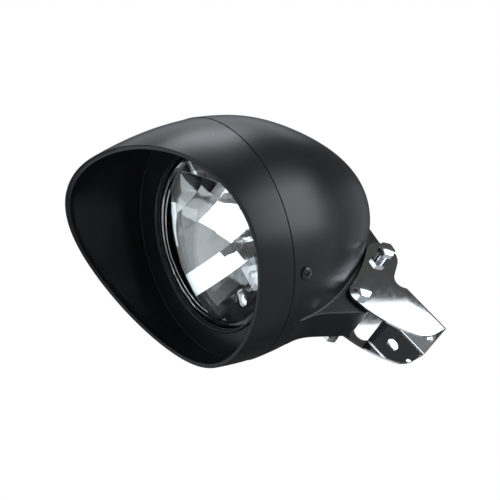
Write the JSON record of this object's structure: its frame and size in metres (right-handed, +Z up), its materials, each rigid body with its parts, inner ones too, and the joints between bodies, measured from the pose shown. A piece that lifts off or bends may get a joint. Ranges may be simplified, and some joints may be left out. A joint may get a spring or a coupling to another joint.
{
  "type": "motorcycle auxiliary driving light",
  "caption": "Bullet-shaped driving light: matt black bowl and scooped visor round a clear domed lens, on a chromed U bracket that bolts to the bike.",
  "frame": {"origin": "centre of the main bolt hole, on the rear face of the bracket's web", "axes": "+Z up, -Y the way the light shines, +X to the lamp's own left"},
  "size_m": [0.2022, 0.245, 0.2509],
  "materials": {
    "matt_black": "matt black paint",
    "black_screw": "black oxide",
    "zinc": "bright zinc plate",
    "chrome": "polished chrome plate",
    "rubber": "soft black",
    "clear_glass": "clear, polished",
    "bulb_glass": "clear",
    "mirror": "vacuum metallised",
    "tungsten": "drawn wire",
    "cap_steel": "pressed, bright",
    "spring_steel": "drawn wire",
    "insulator": "moulded",
    "black_plastic": "moulded",
    "brass": "stamped"
  },
  "bodies": {
    "root": {"bowl": "matt_black", "visor": "matt_black", "visor_screws": "black_screw", "visor_screw_nuts": "zinc", "lens_seal": "rubber", "lens_glass": "clear_glass", "reflector": "mirror", "lens_retaining_ring": "zinc", "retaining_screws": "zinc", "bulb_glass": "bulb_glass", "bulb_filaments": "tungsten", "bulb_collar": "cap_steel", "bulb_base": "insulator", "bulb_terminals": "brass", "bulb_clip": "spring_steel", "dust_boot": "rubber", "bulb_connector": "black_plastic", "pilot_bulb": "bulb_glass", "pilot_holder": "black_plastic", "cable_grommet": "rubber", "bracket": "chrome", "lower_bolt": "zinc", "upper_bolt": "zinc", "lower_nut": "zinc", "upper_nut": "zinc", "nut_washers": "zinc"}
  },
  "joints": []
}
